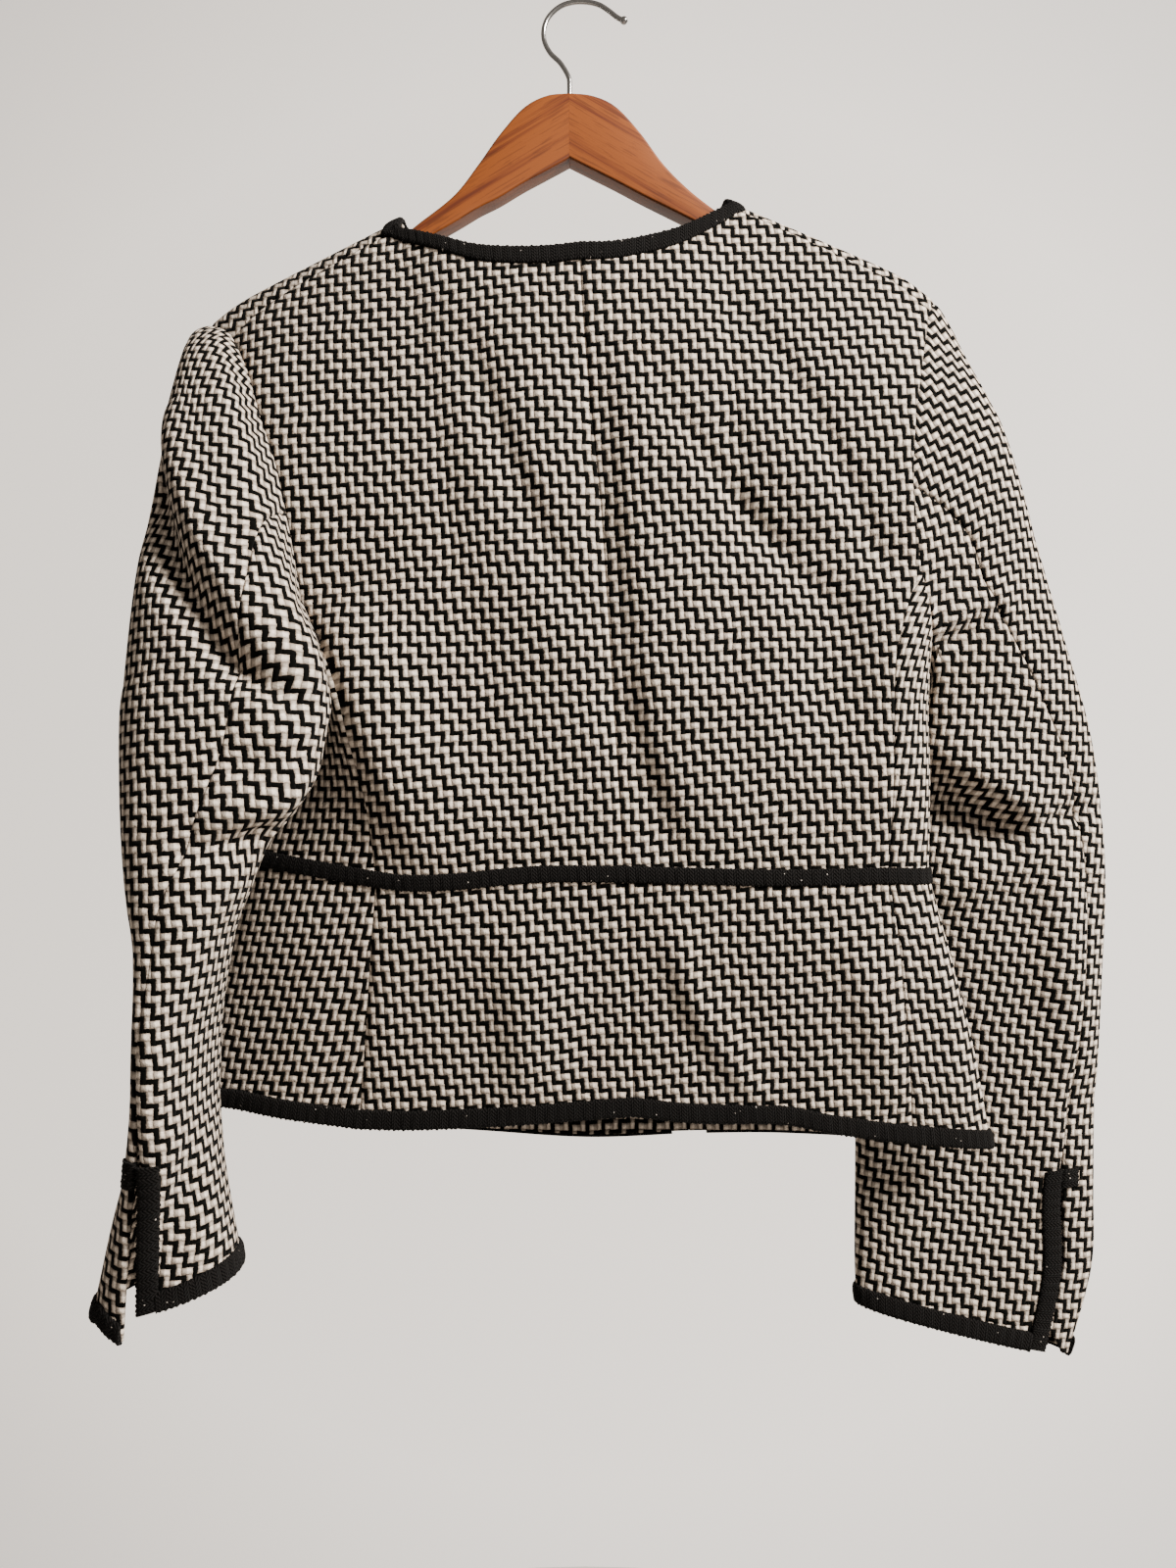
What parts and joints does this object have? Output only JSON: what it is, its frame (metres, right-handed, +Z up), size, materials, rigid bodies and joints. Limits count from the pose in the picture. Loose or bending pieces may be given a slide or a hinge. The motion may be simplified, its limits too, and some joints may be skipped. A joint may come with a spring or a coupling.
{
  "type": "cropped tweed jacket on a wooden hanger",
  "caption": "Cropped collarless tweed jacket with a short peplum, black woven braid edges and vented cuffs, hung on a wooden hanger with a wire hook.",
  "frame": {"origin": "inside top of the hanger's hook, where the hook rests on what it hangs from", "axes": "+Z up, +Y from the jacket's back to its front, +X towards the wearer's right"},
  "size_m": [0.5853, 0.1799, 0.8278],
  "materials": {
    "tweed": "chunky two-by-two twill of ivory and black wool yarns, matt and slightly fuzzy",
    "braid": "black woven braid with a fine chevron and slightly bumpy edges",
    "wood": "red-brown varnished wood with darker long grain, satin",
    "wire": "bright nickel-plated steel wire"
  },
  "bodies": {
    "root": {"back_left": "tweed", "side_left": "tweed", "front_left": "tweed", "peplum_back_left": "tweed", "peplum_side_left": "tweed", "peplum_front_left": "tweed", "sleeve_upper_left": "tweed", "sleeve_under_left": "tweed", "back_right": "tweed", "side_right": "tweed", "front_right": "tweed", "peplum_back_right": "tweed", "peplum_side_right": "tweed", "peplum_front_right": "tweed", "sleeve_upper_right": "tweed", "sleeve_under_right": "tweed", "braid_cuff_upper_left": "braid", "braid_cuff_under_left": "braid", "braid_vent_left": "braid", "braid_front_left": "braid", "braid_cuff_upper_right": "braid", "braid_cuff_under_right": "braid", "braid_vent_right": "braid", "braid_front_right": "braid", "braid_neck": "braid", "braid_waist": "braid", "braid_hem": "braid", "hanger_arm_left": "wood", "hanger_arm_right": "wood", "hanger_hook": "wire"}
  },
  "joints": []
}
